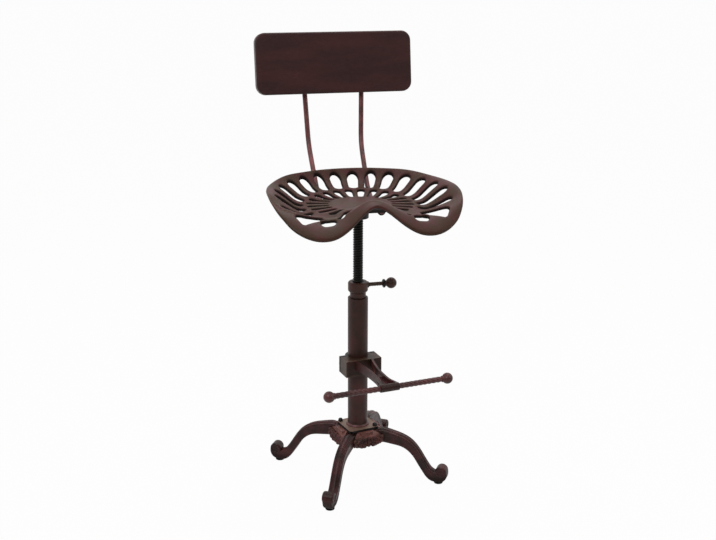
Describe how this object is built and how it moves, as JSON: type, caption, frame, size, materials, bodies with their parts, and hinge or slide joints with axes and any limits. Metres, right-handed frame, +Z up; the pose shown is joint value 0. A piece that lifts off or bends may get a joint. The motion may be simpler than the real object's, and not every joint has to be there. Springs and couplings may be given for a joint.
{
  "type": "swivel stool",
  "caption": "Screw-height swivel stool with a slotted tractor seat, a small backrest on bent rods, a clamped footrest and a four-legged cast base.",
  "frame": {"origin": "on the column's axis at floor level", "axes": "+Z up, -Y towards the front of the seat, +X towards the lever's side"},
  "size_m": [0.4116, 0.4662, 0.9746],
  "materials": {
    "leg_iron": "aged copper-brown paint, semi-gloss",
    "seat_iron": "aged copper-brown paint with worn edges, semi-gloss",
    "plate_iron": "aged copper-brown paint, lighter, semi-gloss",
    "frame_steel": "dark copper-brown paint, semi-gloss",
    "copper_steel": "copper-red paint over steel, semi-gloss",
    "panel_steel": "dark copper-brown paint with redder edges, semi-gloss",
    "dark_steel": "near-black paint, satin",
    "screw_steel": "oiled dark steel",
    "fastener_steel": "blackened steel",
    "pad_rubber": "matte",
    "bush_nylon": "matte"
  },
  "bodies": {
    "base": {"base_plate": "plate_iron", "hub_casting": "leg_iron", "leg_front": "leg_iron", "leg_right": "leg_iron", "leg_back": "leg_iron", "leg_left": "leg_iron", "foot_pads": "pad_rubber", "leg_bolts": "fastener_steel", "leg_nuts": "fastener_steel", "centre_bolt": "fastener_steel", "centre_washer": "fastener_steel", "column_tube": "frame_steel", "column_foot_plug": "dark_steel", "threaded_bushing": "dark_steel"},
    "lock": {"lock_nut": "copper_steel", "lever_rod": "copper_steel", "lever_jam_disc": "dark_steel", "lever_ball": "copper_steel"},
    "guide": {"guide_bush": "bush_nylon"},
    "seat": {"guide_washer": "fastener_steel", "guide_screw": "fastener_steel", "spindle": "screw_steel", "spindle_flange": "dark_steel", "seat_plate": "dark_steel", "seat_bolts": "fastener_steel", "tractor_seat": "seat_iron", "back_rod_left": "copper_steel", "back_rod_right": "copper_steel", "rod_saddles": "dark_steel", "rod_saddle_screws": "fastener_steel", "backrest_front": "panel_steel", "backrest_cover": "panel_steel", "panel_saddles": "dark_steel", "panel_screws": "fastener_steel"},
    "footrest": {"footrest_bracket": "leg_iron", "footrest_bar": "copper_steel", "bar_ball_left": "copper_steel", "bar_ball_right": "copper_steel", "clamp_strap": "dark_steel", "clamp_bolts": "fastener_steel"}
  },
  "joints": [
    {"name": "lock_nut_turn", "type": "hinge", "parent": "base", "child": "lock", "pos_m": [0, 0, 0.436], "axis": [0, 0, 1], "range_deg": [-20, 150]},
    {"name": "seat_lift", "type": "slide", "parent": "base", "child": "guide", "axis": [0, 0, 1], "range_m": [-0.125, 0.085]},
    {"name": "seat_spin", "type": "hinge", "parent": "guide", "child": "seat", "pos_m": [0, 0, 0.45], "axis": [0, 0, 1], "range_deg": [-8181, 5563]},
    {"name": "footrest_height", "type": "slide", "parent": "base", "child": "footrest", "axis": [0, 0, 1], "range_m": [-0.1, 0.12]}
  ],
  "couplings": [
    {"joint": "seat_lift", "follows": "seat_spin", "m_per_rad": 0.00087535}
  ]
}
